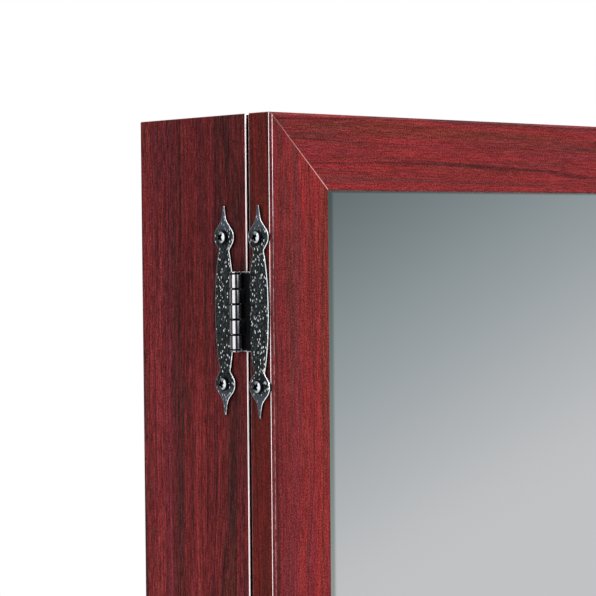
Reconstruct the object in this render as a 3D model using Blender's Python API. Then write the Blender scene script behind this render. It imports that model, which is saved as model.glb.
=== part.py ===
"""A wall-hung jewelry armoire: a shallow case behind a mirrored door on three strap hinges.

Units are metres. X runs right, Y runs into the wall and Z runs up. The origin is the centre of
the back face, so the case and door face -Y and the wall is the plane y = 0. The door turns about
the hinge pins on the left, on the empty door_pivot.
"""

import math

import bmesh
import bpy
from mathutils import Matrix, Vector

# Driving dimensions
WIDTH = 0.368
HEIGHT = 1.219
DEPTH = 0.1016
GAP = 0.0003  # clearance between fixed pieces that meet
PANEL = 0.012
DOOR = 0.0159
DOOR_GAP = 0.0022  # between the case's front edges and the closed door
FRAME = 0.0367  # width of the door's stiles and rails
GLASS_RECESS = 0.0024

# Places that follow from them
HALF_W = WIDTH / 2
HALF_H = HEIGHT / 2
DOOR_FRONT = -DEPTH
DOOR_BACK = DOOR_FRONT + DOOR
CASE_FRONT = DOOR_BACK + DOOR_GAP
INNER_X = HALF_W - PANEL - GAP  # half the width between the side panels, less the fit
INNER_Z = HALF_H - PANEL - GAP

# Hinges
HINGE_Z = (0.5158, 0.0, -0.5158)
HINGE_NAMES = ("top", "mid", "bottom")
PIN_X = -HALF_W - 0.0049
PIN_Y = -0.0809
LEAF = 0.0013
LEAF_AXIS = 0.0128  # from the pin's axis to the middle of each leaf
SCREW_Z = 0.0352  # screw height above and below the hinge's middle
BARREL_R = 0.00295
BORE_R = 0.0016
PIN_R = 0.0013
KNUCKLE = 0.00725
KNUCKLES = 5
CAP = 0.00105

# Inside the case
BACK_PANEL = 0.0045
WALL_RAIL = 0.009
LINING = 0.003
LINING_FRONT = -(BACK_PANEL + GAP + WALL_RAIL + GAP + LINING)
FITTING_BACK = LINING_FRONT - GAP
FITTING_FRONT = -0.066
KEYHOLE_X = 0.127
KEYHOLE_Z = HALF_H - PANEL - 0.030
RING_TRAY_Z = 0.060
SHELF_Z = (-0.100, -0.260, -0.420)
SHELF = 0.008


def clear_scene():
    for obj in list(bpy.data.objects):
        bpy.data.objects.remove(obj)


def material(name, colour, roughness, metallic=0.0):
    made = bpy.data.materials.new(name)
    made.use_nodes = True
    shader = made.node_tree.nodes["Principled BSDF"]
    shader.inputs["Base Color"].default_value = (*colour, 1.0)
    shader.inputs["Roughness"].default_value = roughness
    shader.inputs["Metallic"].default_value = metallic
    made.diffuse_color = (*colour, 1.0)
    return made


def place(name, mesh_data, finish=None, pivot=None, at=(0.0, 0.0, 0.0)):
    """Links a mesh as an object. A piece of the door is parented to the pivot and stays put."""
    mesh = bpy.data.meshes.new(name)
    bmesh.ops.recalc_face_normals(mesh_data, faces=mesh_data.faces)
    mesh_data.to_mesh(mesh)
    mesh_data.free()
    obj = bpy.data.objects.new(name, mesh)
    obj.location = at
    bpy.context.scene.collection.objects.link(obj)
    if finish:
        mesh.materials.append(finish)
    if pivot:
        obj.parent = pivot
        obj.matrix_parent_inverse = Matrix.Translation(pivot.location).inverted()
    return obj


def smooth(obj):
    obj.data.shade_smooth()
    obj.data.set_sharp_from_angle(angle=math.radians(35))
    return obj


def box_mesh(low, high):
    mesh_data = bmesh.new()
    size = Vector(high) - Vector(low)
    middle = (Vector(high) + Vector(low)) / 2
    bmesh.ops.create_cube(mesh_data, size=1.0)
    bmesh.ops.scale(mesh_data, vec=size, verts=mesh_data.verts)
    bmesh.ops.translate(mesh_data, vec=middle, verts=mesh_data.verts)
    return mesh_data


def block(name, low, high, finish, pivot=None, edge=0.0):
    obj = place(name, box_mesh(low, high), finish, pivot)
    if edge:
        bevel = obj.modifiers.new("edges", "BEVEL")
        bevel.width = edge
        bevel.segments = 1
    return obj


def prism_mesh(outline, direction):
    """A flat outline of 3-D points, extruded along direction."""
    mesh_data = bmesh.new()
    face = mesh_data.faces.new([mesh_data.verts.new(point) for point in outline])
    extruded = bmesh.ops.extrude_face_region(mesh_data, geom=[face])
    moved = [item for item in extruded["geom"] if isinstance(item, bmesh.types.BMVert)]
    bmesh.ops.translate(mesh_data, vec=direction, verts=moved)
    return mesh_data


def turned_mesh(profile, sides, axis="Z"):
    """A profile of (radius, height) points from the axis back to it, spun about the axis."""
    mesh_data = bmesh.new()
    points = [mesh_data.verts.new((radius, 0.0, height)) for radius, height in profile]
    edges = [mesh_data.edges.new(pair) for pair in zip(points, points[1:])]
    bmesh.ops.spin(
        mesh_data,
        geom=points + edges,
        cent=(0, 0, 0),
        axis=(0, 0, 1),
        angle=math.tau,
        steps=sides,
        use_merge=True,
    )
    bmesh.ops.remove_doubles(mesh_data, verts=mesh_data.verts, dist=1e-6)
    turn = {
        "Z": Matrix.Identity(3),
        "-X": Matrix.Rotation(math.radians(-90), 3, "Y"),
        "-Y": Matrix.Rotation(math.radians(90), 3, "X"),
    }[axis]
    bmesh.ops.rotate(mesh_data, cent=(0, 0, 0), matrix=turn, verts=mesh_data.verts)
    return mesh_data


def rod_mesh(radius, start, end, sides, axis="Z"):
    return turned_mesh([(0, start), (radius, start), (radius, end), (0, end)], sides, axis)


def joined(meshes):
    """Several separate closed meshes as one, for a cutter or an operand."""
    whole = bmesh.new()
    for mesh_data, offset in meshes:
        bmesh.ops.recalc_face_normals(mesh_data, faces=mesh_data.faces)
        bmesh.ops.translate(mesh_data, vec=offset, verts=mesh_data.verts)
        copy = bpy.data.meshes.new("operand")
        mesh_data.to_mesh(copy)
        mesh_data.free()
        whole.from_mesh(copy)
        bpy.data.meshes.remove(copy)
    return whole


def combine(obj, operand, operation):
    """Cuts the operand from the object, or unites them. The operand stays as a hidden guide."""
    operand.hide_render = True
    operand.display_type = "WIRE"
    operand.parent = obj.parent
    operand.matrix_parent_inverse = obj.matrix_parent_inverse.copy()
    boolean = obj.modifiers.new(operation.lower(), "BOOLEAN")
    boolean.operation = operation
    boolean.solver = "EXACT"
    boolean.object = operand
    return obj


def cut(obj, meshes):
    cutter = place(obj.name + "_cutter", joined(meshes))
    return combine(obj, cutter, "DIFFERENCE")


def dome(radius, rim, height, steps):
    """Profile points of a low round head: a short rim, then an arc up to the axis."""
    rise = height - rim
    sphere = (radius**2 + rise**2) / (2 * rise)
    half = math.asin(radius / sphere)
    for step in range(steps + 1):
        angle = half * (1 - step / steps)
        yield (sphere * math.sin(angle), height - sphere * (1 - math.cos(angle)))


# Screw holes of the hinges: one pilot hole in wood for each screw
PILOT_R = 0.0017
PILOT_END = -HALF_W + 0.0098


def pilot_holes(side):
    """Cutters for the hinge screws in the side panel (side 1) or the door's edge (side -1)."""
    for hinge_z in HINGE_Z:
        for screw_z in (SCREW_Z, -SCREW_Z):
            hole = rod_mesh(PILOT_R, -PILOT_END, HALF_W + 0.004, 16, "-X")
            yield hole, (0, PIN_Y + side * LEAF_AXIS, hinge_z + screw_z)


# Keyhole hanger plates, let into the back panel over pockets in the hanging rail
KEYHOLE_PLATE_X = 0.020
KEYHOLE_PLATE_Z = 0.040
KEYHOLE_PLATE_Y = 0.0016
KEYHOLE_HEAD_R = 0.005
KEYHOLE_SLOT_R = 0.0027
KEYHOLE_SLOT_Z = 0.009


def make_case(wood, inner_wood, felt):
    """The box: four panels with softened edges, a back let in between them, and wall rails."""
    edge = 0.0006
    left = block(
        "left_side_panel",
        (-HALF_W, CASE_FRONT, -HALF_H),
        (-HALF_W + PANEL, 0, HALF_H),
        wood,
        edge=edge,
    )
    cut(left, pilot_holes(1))
    block(
        "right_side_panel",
        (HALF_W - PANEL, CASE_FRONT, -HALF_H),
        (HALF_W, 0, HALF_H),
        wood,
        edge=edge,
    )
    block(
        "top_panel",
        (-INNER_X, CASE_FRONT, HALF_H - PANEL),
        (INNER_X, 0, HALF_H),
        wood,
        edge=edge,
    )
    block(
        "bottom_panel",
        (-INNER_X, CASE_FRONT, -HALF_H),
        (INNER_X, 0, -HALF_H + PANEL),
        wood,
        edge=edge,
    )
    back = block(
        "back_panel", (-INNER_X, -BACK_PANEL, -INNER_Z), (INNER_X, 0, INNER_Z), inner_wood
    )
    keyholes = [(x, 0, KEYHOLE_Z) for x in (-KEYHOLE_X, KEYHOLE_X)]
    plate = Vector((KEYHOLE_PLATE_X / 2 + GAP, 0.01, KEYHOLE_PLATE_Z / 2 + GAP))
    cut(back, [(box_mesh(-plate, plate), at) for at in keyholes])
    rail_back = -BACK_PANEL - GAP
    rail = block(
        "hanging_rail",
        (-INNER_X, rail_back - WALL_RAIL, INNER_Z - 0.060),
        (INNER_X, rail_back, INNER_Z),
        inner_wood,
    )
    # A pocket behind each keyhole for the wall screw's head
    pocket = Vector((0.006, 0.007 - rail_back, 0.012))
    cut(rail, [(box_mesh(-pocket, pocket), at) for at in keyholes])
    block(
        "lower_rail",
        (-INNER_X, rail_back - WALL_RAIL, -INNER_Z),
        (INNER_X, rail_back, -INNER_Z + 0.040),
        inner_wood,
    )
    block(
        "back_lining",
        (-INNER_X, LINING_FRONT, -INNER_Z),
        (INNER_X, LINING_FRONT + LINING, INNER_Z),
        felt,
    )


def make_keyhole_plates(steel):
    for side, x in (("left", -KEYHOLE_X), ("right", KEYHOLE_X)):
        plate = block(
            f"keyhole_plate_{side}",
            (x - KEYHOLE_PLATE_X / 2, -GAP - KEYHOLE_PLATE_Y, KEYHOLE_Z - KEYHOLE_PLATE_Z / 2),
            (x + KEYHOLE_PLATE_X / 2, -GAP, KEYHOLE_Z + KEYHOLE_PLATE_Z / 2),
            steel,
        )
        # A round mouth for the screw's head, and a slot above it for the screw's neck
        mouth_z = -0.004
        neck = math.asin(KEYHOLE_SLOT_R / KEYHOLE_HEAD_R)
        outline = []
        for step in range(17):
            angle = math.pi / 2 + neck + (math.tau - 2 * neck) * step / 16
            outline.append(
                (KEYHOLE_HEAD_R * math.cos(angle), mouth_z + KEYHOLE_HEAD_R * math.sin(angle))
            )
        for step in range(9):
            angle = math.pi * step / 8
            outline.append(
                (
                    KEYHOLE_SLOT_R * math.cos(angle),
                    mouth_z + KEYHOLE_SLOT_Z + KEYHOLE_SLOT_R * math.sin(angle),
                )
            )
        keyhole = prism_mesh([(px, -0.004, pz) for px, pz in outline], (0, 0.008, 0))
        cut(plate, [(keyhole, (x, 0, KEYHOLE_Z))])


# Fittings inside the case

HOOKS = 12
HOOK_STRIP_X = 0.150
HOOK_STRIP_Z = 0.520


def make_hook_strip(metal):
    """A metal strip across the lining with a row of hooks for necklaces."""
    strip_y = 0.002
    strip = block(
        "necklace_hook_strip",
        (-HOOK_STRIP_X, FITTING_BACK - strip_y, HOOK_STRIP_Z - 0.010),
        (HOOK_STRIP_X, FITTING_BACK, HOOK_STRIP_Z + 0.010),
        metal,
    )
    # Each hook is a flat J seen from the side: out from the strip, then up to a round tip
    root = FITTING_BACK - strip_y / 2
    thick = 0.0025
    inner = 0.0055
    reach = root - 0.008
    outer = inner + thick
    outline = [(root, -outer), (reach, -outer)]
    for step in range(1, 9):
        angle = math.pi / 2 * step / 8
        outline.append((reach - outer * math.sin(angle), -outer * math.cos(angle)))
    outline += [(reach - outer, 0.006), (reach - inner, 0.006)]
    for step in range(7):
        angle = math.pi / 2 * (1 - step / 6)
        outline.append((reach - inner * math.sin(angle), -inner * math.cos(angle)))
    outline.append((root, -inner))
    width = 0.003
    step_x = 2 * (HOOK_STRIP_X - 0.012) / (HOOKS - 1)
    hooks = []
    for index in range(HOOKS):
        left = -HOOK_STRIP_X + 0.012 + index * step_x - width / 2
        hook = prism_mesh([(left, y, z) for y, z in outline], (width, 0, 0))
        hooks.append((hook, (0, 0, HOOK_STRIP_Z)))
    combine(strip, place("necklace_hooks_operand", joined(hooks)), "UNION")


ROLLS = 4
TRAY_WALL = 0.003
TRAY_Z = 0.022


def make_ring_tray(wood, velvet):
    """A shallow open tray across the case, filled with soft rolls that hold rings between them."""
    low = Vector((-INNER_X, FITTING_FRONT, RING_TRAY_Z))
    high = Vector((INNER_X, FITTING_BACK, RING_TRAY_Z + TRAY_Z))
    tray = block("ring_tray", low, high, wood)
    wall = Vector((TRAY_WALL, TRAY_WALL, TRAY_WALL))
    pocket = box_mesh(low + wall, high + Vector((-TRAY_WALL, -TRAY_WALL, 0.01)))
    cut(tray, [(pocket, (0, 0, 0))])
    space = (FITTING_BACK - TRAY_WALL) - (FITTING_FRONT + TRAY_WALL)
    fit = 0.0005
    pitch = (space - fit) / ROLLS
    radius = (pitch - fit) / 2
    length = INNER_X - TRAY_WALL - fit
    base_z = RING_TRAY_Z + TRAY_WALL + GAP
    for index in range(ROLLS):
        middle = FITTING_FRONT + TRAY_WALL + fit + radius + index * pitch
        outline = [(middle + radius, base_z), (middle - radius, base_z)]
        for step in range(9):
            angle = math.pi * (1 - step / 8)
            outline.append(
                (middle + radius * math.cos(angle), base_z + 0.011 + radius * math.sin(angle))
            )
        roll = prism_mesh([(-length, y, z) for y, z in outline], (2 * length, 0, 0))
        smooth(place(f"ring_roll_{index + 1}", roll, velvet))


def make_shelves(wood):
    """Three shelves, each with a low lip along its front edge."""
    lip_y = 0.006
    lip_z = 0.020
    for index, shelf_z in enumerate(SHELF_Z, start=1):
        block(
            f"shelf_{index}",
            (-INNER_X, FITTING_FRONT, shelf_z - SHELF),
            (INNER_X, FITTING_BACK, shelf_z),
            wood,
        )
        block(
            f"shelf_lip_{index}",
            (-INNER_X, FITTING_FRONT, shelf_z + GAP),
            (INNER_X, FITTING_FRONT + lip_y, shelf_z + lip_z),
            wood,
            edge=0.001,
        )


BRACELET_ROD_R = 0.006
BRACELET_ROD = (-0.042, 0.025)  # y, z


def make_bracelet_rod(wood):
    rod = rod_mesh(BRACELET_ROD_R, -INNER_X, INNER_X, 16, "-X")
    smooth(place("bracelet_rod", rod, wood, at=(0, *BRACELET_ROD)))


# The catch, its strike plate and the knob, on the side away from the hinges
CATCH_Z = -0.045
CATCH_X = INNER_X - 0.009
KNOB_X = HALF_W - FRAME / 2
STRIKE = 0.001


def make_catch(plastic, steel, pivot):
    strike_front = DOOR_BACK + GAP
    catch_front = strike_front + STRIKE + GAP
    block(
        "magnetic_catch",
        (INNER_X - 0.018, catch_front, CATCH_Z - 0.016),
        (INNER_X, catch_front + 0.022, CATCH_Z + 0.016),
        plastic,
        edge=0.001,
    )
    block(
        "strike_plate",
        (CATCH_X - 0.007, strike_front, CATCH_Z - 0.013),
        (CATCH_X + 0.007, strike_front + STRIKE, CATCH_Z + 0.013),
        steel,
        pivot,
    )


def make_bumpers(rubber):
    """Soft discs on the case's front edge that the closing door lands on."""
    thick = DOOR_GAP - 2 * GAP
    for name, z in (("top", HALF_H - 0.030), ("bottom", -HALF_H + 0.030)):
        disc = rod_mesh(0.004, 0, thick, 16, "-Y")
        at = (HALF_W - PANEL / 2, CASE_FRONT - GAP, z)
        smooth(place(f"door_bumper_{name}", disc, rubber, at=at))


KNOB_SCREW_R = 0.002
KNOB_HOLE_R = 0.0023


def make_knob(metal, steel, pivot):
    """A small turned knob on the latch stile, held by a screw from the door's back."""
    front = DOOR_FRONT - GAP
    profile = [(0, 0), (0.0062, 0), (0.0062, 0.0015), (0.0040, 0.0040), (0.0040, 0.0075)]
    # The head is a flattened ball from the neck round to the axis
    for step in range(9):
        angle = math.radians(-50 + 140 * step / 8)
        profile.append((0.0085 * math.cos(angle) ** 0.9, 0.0140 + 0.0060 * math.sin(angle)))
    profile[-1] = (0, profile[-1][1])
    knob = place("knob", turned_mesh(profile, 24, "-Y"), metal, pivot, at=(KNOB_X, front, 0))
    smooth(knob)
    socket = rod_mesh(KNOB_HOLE_R, -0.002, 0.010, 16, "-Y")
    cut(knob, [(socket, (KNOB_X, front, 0))])
    # Measured from the door's back towards the knob, so the head lies at negative heights
    reach = DOOR + 0.009
    head = [(radius, -GAP - height) for radius, height in dome(0.0032, 0.0005, 0.0018, 4)]
    screw = [(0, head[-1][1]), *reversed(head[:-1]), (0.0032, -GAP)]
    screw += [(KNOB_SCREW_R, -GAP), (KNOB_SCREW_R, reach), (0, reach)]
    screw_mesh = turned_mesh(screw, 16, "-Y")
    smooth(place("knob_screw", screw_mesh, steel, pivot, at=(KNOB_X, DOOR_BACK, 0)))


# Door

CHAMFER = 0.0012
SIGHT_EDGE = 0.0008  # the small slope where the frame meets the glass
RABBET = 0.008
MITRE_GAP = GAP / math.sqrt(2)
GLASS = 0.003
BACKING = 0.0045


def frame_member(name, upright, side, finish, pivot):
    """A stile (upright) or rail of the door, with mitred ends.

    The profile is a list of (distance from the door's outer edge, y) points: a slab with a
    chamfered outer corner, a thin lip over the glass and a rabbet behind it.
    """
    lip_back = DOOR_FRONT + GLASS_RECESS
    profile = [
        (0, DOOR_BACK),
        (0, DOOR_FRONT + CHAMFER),
        (CHAMFER, DOOR_FRONT),
        (FRAME - SIGHT_EDGE, DOOR_FRONT),
        (FRAME, DOOR_FRONT + SIGHT_EDGE),
        (FRAME, lip_back),
        (FRAME - RABBET, lip_back),
        (FRAME - RABBET, DOOR_BACK),
    ]
    across, along = (HALF_W, HALF_H) if upright else (HALF_H, HALF_W)
    mesh_data = bmesh.new()
    ends = []
    for end in (-1, 1):
        ring = []
        for inset, y in profile:
            u = side * (across - inset)
            v = end * (along - inset - MITRE_GAP)
            ring.append(mesh_data.verts.new((u, y, v) if upright else (v, y, u)))
        mesh_data.faces.new(ring)
        ends.append(ring)
    count = len(profile)
    for index in range(count):
        after = (index + 1) % count
        mesh_data.faces.new((ends[0][index], ends[0][after], ends[1][after], ends[1][index]))
    return place(name, mesh_data, finish, pivot)


def make_door(wood, mirror, felt, pivot):
    hinge_stile = frame_member("door_stile_hinge", True, -1, wood, pivot)
    cut(hinge_stile, pilot_holes(-1))
    latch_stile = frame_member("door_stile_latch", True, 1, wood, pivot)
    knob_hole = rod_mesh(KNOB_HOLE_R, -0.005, DOOR + 0.005, 16, "-Y")
    cut(latch_stile, [(knob_hole, (KNOB_X, DOOR_BACK, 0))])
    frame_member("door_rail_top", False, 1, wood, pivot)
    frame_member("door_rail_bottom", False, -1, wood, pivot)
    # The glass and its backing board lie in the rabbet, one behind the other
    half_x = HALF_W - FRAME + RABBET - GAP
    half_z = HALF_H - FRAME + RABBET - GAP
    glass_front = DOOR_FRONT + GLASS_RECESS + GAP
    glass_back = glass_front + GLASS
    board_front = glass_back + GAP
    block(
        "mirror_glass", (-half_x, glass_front, -half_z), (half_x, glass_back, half_z), mirror, pivot
    )
    block(
        "mirror_backing",
        (-half_x, board_front, -half_z),
        (half_x, board_front + BACKING, half_z),
        felt,
        pivot,
    )


BACKING_BACK = DOOR_FRONT + GLASS_RECESS + GAP + GLASS + GAP + BACKING
EARRING_BAR_X = 0.130
EARRING_BAR_Z = (0.360, 0.200, 0.040)
EARRING_SLOTS = 13


def make_earring_bars(metal, pivot):
    """Ledges on the inside of the door, with notched edges that earrings hang in."""
    thick = 0.002
    reach = BACKING_BACK + GAP + 0.016
    root = BACKING_BACK + GAP
    notch = 0.0015
    pitch = 2 * EARRING_BAR_X / EARRING_SLOTS
    for number, bar_z in enumerate(EARRING_BAR_Z, start=1):
        outline = [(-EARRING_BAR_X, root), (-EARRING_BAR_X, reach)]
        for slot in range(EARRING_SLOTS):
            x = -EARRING_BAR_X + (slot + 0.5) * pitch
            floor = reach - 0.007
            outline += [
                (x - notch / 2, reach),
                (x - notch / 2, floor),
                (x + notch / 2, floor),
                (x + notch / 2, reach),
            ]
        outline += [(EARRING_BAR_X, reach), (EARRING_BAR_X, root)]
        ledge = prism_mesh([(x, y, bar_z) for x, y in outline], (0, 0, thick))
        bar = place(f"earring_bar_{number}", ledge, metal, pivot)
        flange = box_mesh(
            (-EARRING_BAR_X, root, bar_z - 0.010), (EARRING_BAR_X, root + thick, bar_z + thick / 2)
        )
        combine(bar, place(f"earring_bar_{number}_flange", flange), "UNION")


# Hinges

# Half the width of a leaf at each height above the hinge's middle: a tapering strap, a narrow
# neck, a round onion that takes the screw, and a spear tip
STRAP = [(0.0, 0.0072), (0.0096, 0.0068), (0.0150, 0.0064), (0.0214, 0.0055)]
SPEAR = [
    (0.0214, 0.0055),
    (0.0262, 0.0046),
    (0.0290, 0.0040),
    (0.0311, 0.0056),
    (0.0335, 0.0072),
    (0.0362, 0.0074),
    (0.0387, 0.0062),
    (0.0410, 0.0040),
    (0.0433, 0.0021),
    (0.0460, 0.0013),
    (0.0502, 0.0005),
]
# The inner edge turns square at the barrel's end: (height, distance from the pin's axis)
SHOULDER = [(0.0214, 0.0073), (0.0196, 0.0070), (0.0191, 0.0064), (0.0190, 0.0003)]


def curved(points, steps):
    """Points of a smooth curve through the given ones."""
    for index in range(len(points) - 1):
        before, start = Vector(points[max(index - 1, 0)]), Vector(points[index])
        end, after = Vector(points[index + 1]), Vector(points[min(index + 2, len(points) - 1)])
        for step in range(steps):
            t = step / steps
            yield tuple(
                0.5
                * (
                    2 * start
                    + (end - before) * t
                    + (2 * before - 5 * start + 4 * end - after) * t**2
                    + (3 * start - before - 3 * end + after) * t**3
                )
            )
    yield tuple(points[-1])


def leaf_outline():
    """(distance from the pin's axis, height) round a whole leaf."""
    outer = [(LEAF_AXIS + half, z) for z, half in curved(STRAP, 2)]
    spear = list(curved(SPEAR, 2))
    outer += [(LEAF_AXIS + half, z) for z, half in spear[1:]]
    inner = [(LEAF_AXIS - half, z) for z, half in reversed(spear)]
    shoulder = [(away, z) for z, away in curved(SHOULDER, 2)]
    upper = outer + inner[:-1] + shoulder
    lower = [(away, -z) for away, z in reversed(upper)]
    return upper + lower[:-1]


def knuckle_outline(side):
    """Section of a knuckle: round the pin, then back to the leaf's plate on its own side."""
    edge = GAP
    root = 0.0040
    start = math.pi / 2
    end = math.tau + math.asin(edge / BARREL_R)
    points = [(root, edge), (root, BARREL_R)]
    steps = 20
    for step in range(steps + 1):
        angle = start + (end - start) * step / steps
        points.append((BARREL_R * math.cos(angle), BARREL_R * math.sin(angle)))
    return [(x, side * y) for x, y in points]


def make_leaf(name, side, rows, finish, at, pivot=None):
    plate_in = -HALF_W - GAP - PIN_X
    plate = prism_mesh([(plate_in, side * away, z) for away, z in leaf_outline()], (-LEAF, 0, 0))
    leaf = smooth(place(name, plate, finish, pivot, at))
    knuckles = []
    for row in rows:
        low = (row - KNUCKLES / 2) * KNUCKLE + GAP / 2
        outline = [(x, y, low) for x, y in knuckle_outline(side)]
        knuckles.append((prism_mesh(outline, (0, 0, KNUCKLE - GAP)), (0, 0, 0)))
    combine(leaf, place(name + "_knuckles", joined(knuckles), at=at), "UNION")
    bore_half = KNUCKLES * KNUCKLE / 2 + 0.004
    holes = [(rod_mesh(BORE_R, -bore_half, bore_half, 16), (0, 0, 0))]
    for z in (SCREW_Z, -SCREW_Z):
        hole = rod_mesh(0.00175, -plate_in - 0.001, LEAF + 0.001, 16, "-X")
        holes.append((hole, (0, side * LEAF_AXIS, z)))
    combine(leaf, place(name + "_holes", joined(holes), at=at), "DIFFERENCE")


def make_hinges(iron, pivot):
    barrel = KNUCKLES * KNUCKLE / 2 - GAP / 2 + GAP
    pin_half = [(PIN_R, barrel), (BARREL_R - 0.0001, barrel), (BARREL_R - 0.0001, barrel + CAP / 2)]
    pin_half += [(0.0020, barrel + CAP), (0, barrel + CAP)]
    pin = [(radius, -z) for radius, z in reversed(pin_half)] + pin_half
    under_head = -HALF_W - GAP - LEAF - GAP
    shank = [(0, -0.0098), (0.0006, -0.0094), (0.0014, -0.0070), (0.0014, 0)]
    screw = shank + list(dome(0.0034, 0.0004, 0.0022, 6))
    screw[-1] = (0, screw[-1][1])
    for name, hinge_z in zip(HINGE_NAMES, HINGE_Z):
        at = (PIN_X, PIN_Y, hinge_z)
        make_leaf(f"hinge_{name}_case_leaf", 1, (0, 2, 4), iron, at)
        make_leaf(f"hinge_{name}_door_leaf", -1, (1, 3), iron, at, pivot)
        smooth(place(f"hinge_{name}_pin", turned_mesh(pin, 20), iron, at=at))
        for side, owner, parent in ((1, "case", None), (-1, "door", pivot)):
            for level, screw_z in (("upper", SCREW_Z), ("lower", -SCREW_Z)):
                centre = (under_head, PIN_Y + side * LEAF_AXIS, hinge_z + screw_z)
                smooth(
                    place(
                        f"hinge_{name}_{owner}_screw_{level}",
                        turned_mesh(screw, 16, "-X"),
                        iron,
                        parent,
                        centre,
                    )
                )


def build():
    clear_scene()
    pivot = bpy.data.objects.new("door_pivot", None)
    pivot.location = (PIN_X, PIN_Y, 0)
    bpy.context.scene.collection.objects.link(pivot)
    cherry = material("cherry_laminate", (0.14, 0.014, 0.020), 0.35)
    frame_cherry = material("cherry_frame", (0.24, 0.030, 0.036), 0.30)
    inner_wood = material("inner_wood", (0.20, 0.045, 0.035), 0.50)
    felt = material("black_felt", (0.012, 0.011, 0.012), 0.95)
    velvet = material("black_velvet", (0.015, 0.013, 0.015), 0.90)
    iron = material("black_iron", (0.020, 0.020, 0.021), 0.38, 0.9)
    steel = material("bright_steel", (0.55, 0.55, 0.56), 0.30, 1.0)
    mirror = material("mirror", (0.80, 0.82, 0.82), 0.02, 1.0)
    plastic = material("catch_plastic", (0.030, 0.025, 0.022), 0.50)
    rubber = material("rubber", (0.35, 0.33, 0.30), 0.70)
    make_case(cherry, inner_wood, felt)
    make_keyhole_plates(steel)
    make_hook_strip(steel)
    make_ring_tray(inner_wood, velvet)
    make_shelves(inner_wood)
    make_bracelet_rod(inner_wood)
    make_catch(plastic, steel, pivot)
    make_bumpers(rubber)
    make_door(frame_cherry, mirror, felt, pivot)
    make_knob(iron, steel, pivot)
    make_earring_bars(steel, pivot)
    make_hinges(iron, pivot)


build()
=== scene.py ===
"""The finished look of a wall-hung jewelry armoire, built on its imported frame. Units are metres."""

import math
import random

import bmesh
import bpy
from mathutils import Matrix, Vector


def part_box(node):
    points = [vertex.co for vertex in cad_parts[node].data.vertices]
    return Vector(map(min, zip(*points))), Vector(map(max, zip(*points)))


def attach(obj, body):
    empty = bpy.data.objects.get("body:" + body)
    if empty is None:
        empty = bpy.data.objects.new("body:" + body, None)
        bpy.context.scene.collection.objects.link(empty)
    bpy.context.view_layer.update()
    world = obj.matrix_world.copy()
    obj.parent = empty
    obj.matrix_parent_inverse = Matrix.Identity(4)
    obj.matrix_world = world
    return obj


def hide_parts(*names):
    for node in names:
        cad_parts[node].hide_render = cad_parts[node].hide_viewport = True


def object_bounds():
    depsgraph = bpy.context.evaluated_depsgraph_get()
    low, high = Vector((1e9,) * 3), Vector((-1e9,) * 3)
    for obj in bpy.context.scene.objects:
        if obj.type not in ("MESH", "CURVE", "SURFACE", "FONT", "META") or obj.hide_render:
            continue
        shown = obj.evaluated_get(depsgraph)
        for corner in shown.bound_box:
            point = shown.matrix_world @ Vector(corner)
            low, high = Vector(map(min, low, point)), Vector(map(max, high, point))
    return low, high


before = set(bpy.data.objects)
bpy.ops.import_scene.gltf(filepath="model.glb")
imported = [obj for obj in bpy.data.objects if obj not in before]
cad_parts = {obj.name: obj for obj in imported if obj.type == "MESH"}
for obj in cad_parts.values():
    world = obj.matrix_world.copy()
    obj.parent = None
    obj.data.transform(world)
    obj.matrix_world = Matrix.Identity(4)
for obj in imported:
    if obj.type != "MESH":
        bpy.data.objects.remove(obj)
frame_box = [list(corner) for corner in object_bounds()]


# ---- Viewpoint ----
# The viewer stands at the left front of the armoire, level with its top hinge, and looks closely
# at that corner through a long lens.

viewpoint = bpy.data.cameras.new("viewpoint")
viewpoint.sensor_width = 36.0
viewpoint.lens = 111.56
viewpoint.clip_start = 0.01
camera = bpy.data.objects.new("viewpoint", viewpoint)
bpy.context.scene.collection.objects.link(camera)
camera.matrix_world = (
    Matrix.Translation((-0.7423, -0.7582, 0.5547))
    @ Matrix.Rotation(math.radians(-41.19), 4, "Z")
    @ Matrix.Rotation(math.radians(90 - 2.14), 4, "X")
    @ Matrix.Rotation(math.radians(-0.48), 4, "Z")
)
bpy.context.scene.camera = camera


# ---- Case panels ----
# Two sides, a top and a bottom of fibreboard, wrapped in a foil printed with dark cherry grain.
# The foil is folded round each edge, and the tight fold at the front wears through to its pale core.
# That pale fold is also a painted highlight, and the flat front edge carries painted shade.


class Wire:
    """An output of a shader node. Arithmetic on it adds Math nodes to the same finish."""

    def __init__(self, finish, socket):
        self.finish = finish
        self.socket = socket

    def __add__(self, other):
        return self.finish.maths("ADD", self, other)

    def __sub__(self, other):
        return self.finish.maths("SUBTRACT", self, other)

    def __rsub__(self, other):
        return self.finish.maths("SUBTRACT", other, self)

    def __mul__(self, other):
        return self.finish.maths("MULTIPLY", self, other)

    __radd__ = __add__
    __rmul__ = __mul__


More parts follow.
